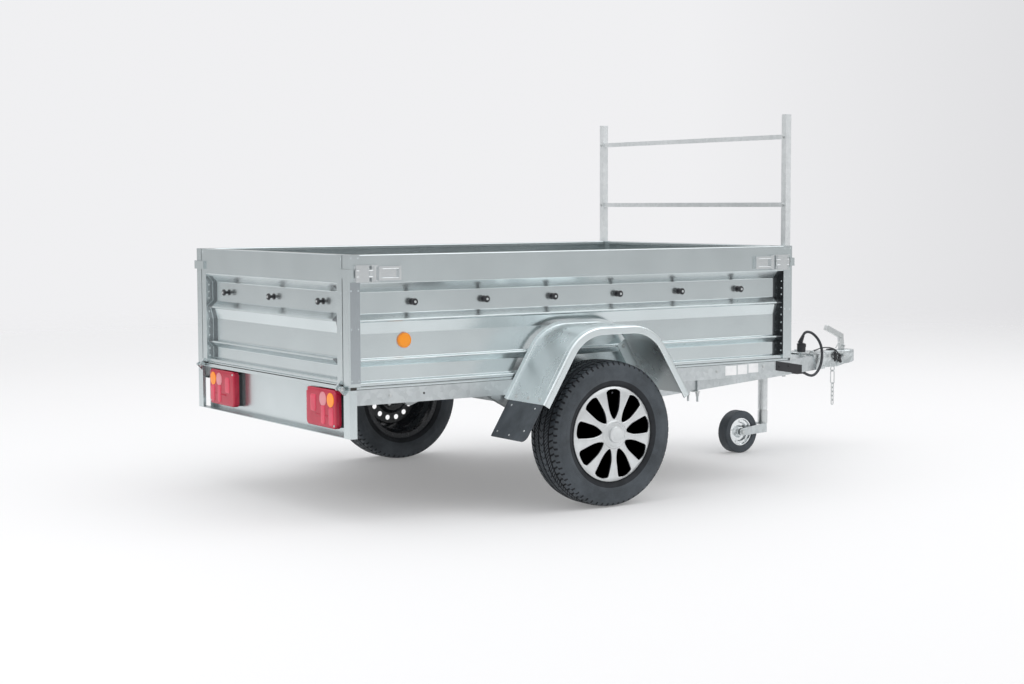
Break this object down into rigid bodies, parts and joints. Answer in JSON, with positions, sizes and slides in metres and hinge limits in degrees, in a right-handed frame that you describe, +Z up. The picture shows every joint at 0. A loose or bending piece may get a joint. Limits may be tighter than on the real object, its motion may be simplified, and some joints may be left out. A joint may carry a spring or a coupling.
{
  "type": "utility trailer",
  "caption": "Single-axle galvanised box trailer with drop gates, ladder rack, mudguards, V drawbar with ball coupling, and jockey wheel.",
  "frame": {"origin": "on the road, below the middle of the bounding box", "axes": "+X forwards to the coupling, +Y to the trailer's left, +Z up"},
  "size_m": [3.376, 1.93, 1.635],
  "materials": {
    "galvanised": "satin",
    "black_paint": "satin",
    "tyre": "matte",
    "rubber": "matte",
    "black_plastic": "matte",
    "silver_plastic": "satin",
    "red_lens": "gloss",
    "amber_lens": "gloss",
    "plywood": "matte",
    "zinc": "satin"
  },
  "bodies": {
    "chassis": {"rail_right": "galvanised", "rail_left": "galvanised", "cross_member_front": "galvanised", "cross_member_mid": "galvanised", "cross_member_axle": "galvanised", "drawbar_right": "galvanised", "drawbar_left": "galvanised", "nose_plate": "galvanised", "coupling": "galvanised", "axle_tube": "galvanised", "swing_arm_left": "galvanised", "swing_arm_right": "galvanised", "wall_right": "galvanised", "wall_left": "galvanised", "light_bar": "galvanised", "mudguard_right": "galvanised", "mudguard_left": "galvanised", "latches_right": "galvanised", "latches_left": "galvanised", "rack_upright_right": "galvanised", "rack_upright_left": "galvanised", "rack_bar_upper": "galvanised", "rack_bar_lower": "galvanised", "jockey_tube": "galvanised", "safety_chain": "galvanised", "plug_holder": "galvanised", "coupling_handle": "zinc", "floor": "plywood", "lamp_left": "red_lens", "lamp_right": "red_lens", "side_reflectors": "amber_lens", "mudflap_right": "rubber", "mudflap_left": "rubber", "cable": "rubber", "breakaway_cable": "rubber", "hooks_right": "black_plastic", "hooks_left": "black_plastic", "marker_bracket_right": "black_plastic", "marker_bracket_left": "black_plastic", "plug": "black_plastic", "cable_gland": "black_plastic", "breakaway_gland": "black_plastic", "breakaway_hook": "black_plastic"},
    "wheel_left": {"tyre_left": "tyre", "rim_left": "black_paint", "cover_left": "galvanised"},
    "wheel_right": {"tyre_right": "tyre", "rim_right": "black_paint", "cover_right": "silver_plastic"},
    "tailgate": {"tailgate": "galvanised", "tailgate_hooks": "black_plastic"},
    "front_gate": {"front_gate": "galvanised", "front_gate_hooks": "black_plastic"},
    "jockey_slide": {"jockey_inner": "zinc"},
    "jockey_fork": {"jockey_fork": "galvanised"},
    "jockey_wheel": {"jockey_rim": "galvanised", "jockey_tyre": "rubber"}
  },
  "joints": [
    {"name": "wheel_left_spin", "type": "hinge", "parent": "chassis", "child": "wheel_left", "pos_m": [-0.569, 0.842, 0.3], "axis": [0, 1, 0], "continuous": true},
    {"name": "wheel_right_spin", "type": "hinge", "parent": "chassis", "child": "wheel_right", "pos_m": [-0.569, -0.842, 0.3], "axis": [0, 1, 0], "continuous": true},
    {"name": "tailgate_drop", "type": "hinge", "parent": "chassis", "child": "tailgate", "pos_m": [-1.678, 0, 0.53], "axis": [0, -1, 0], "range_deg": [0, 170]},
    {"name": "front_gate_drop", "type": "hinge", "parent": "chassis", "child": "front_gate", "pos_m": [0.63, 0, 0.53], "axis": [0, 1, 0], "range_deg": [0, 65]},
    {"name": "jockey_crank_travel", "type": "slide", "parent": "chassis", "child": "jockey_slide", "axis": [0, 0, -1], "range_m": [0, 0.18]},
    {"name": "jockey_swivel", "type": "hinge", "parent": "jockey_slide", "child": "jockey_fork", "pos_m": [1.076, 0, 0.138], "axis": [0, 0, 1], "continuous": true},
    {"name": "jockey_wheel_spin", "type": "hinge", "parent": "jockey_fork", "child": "jockey_wheel", "pos_m": [0.911, 0, 0.105], "axis": [0, 1, 0], "continuous": true}
  ]
}
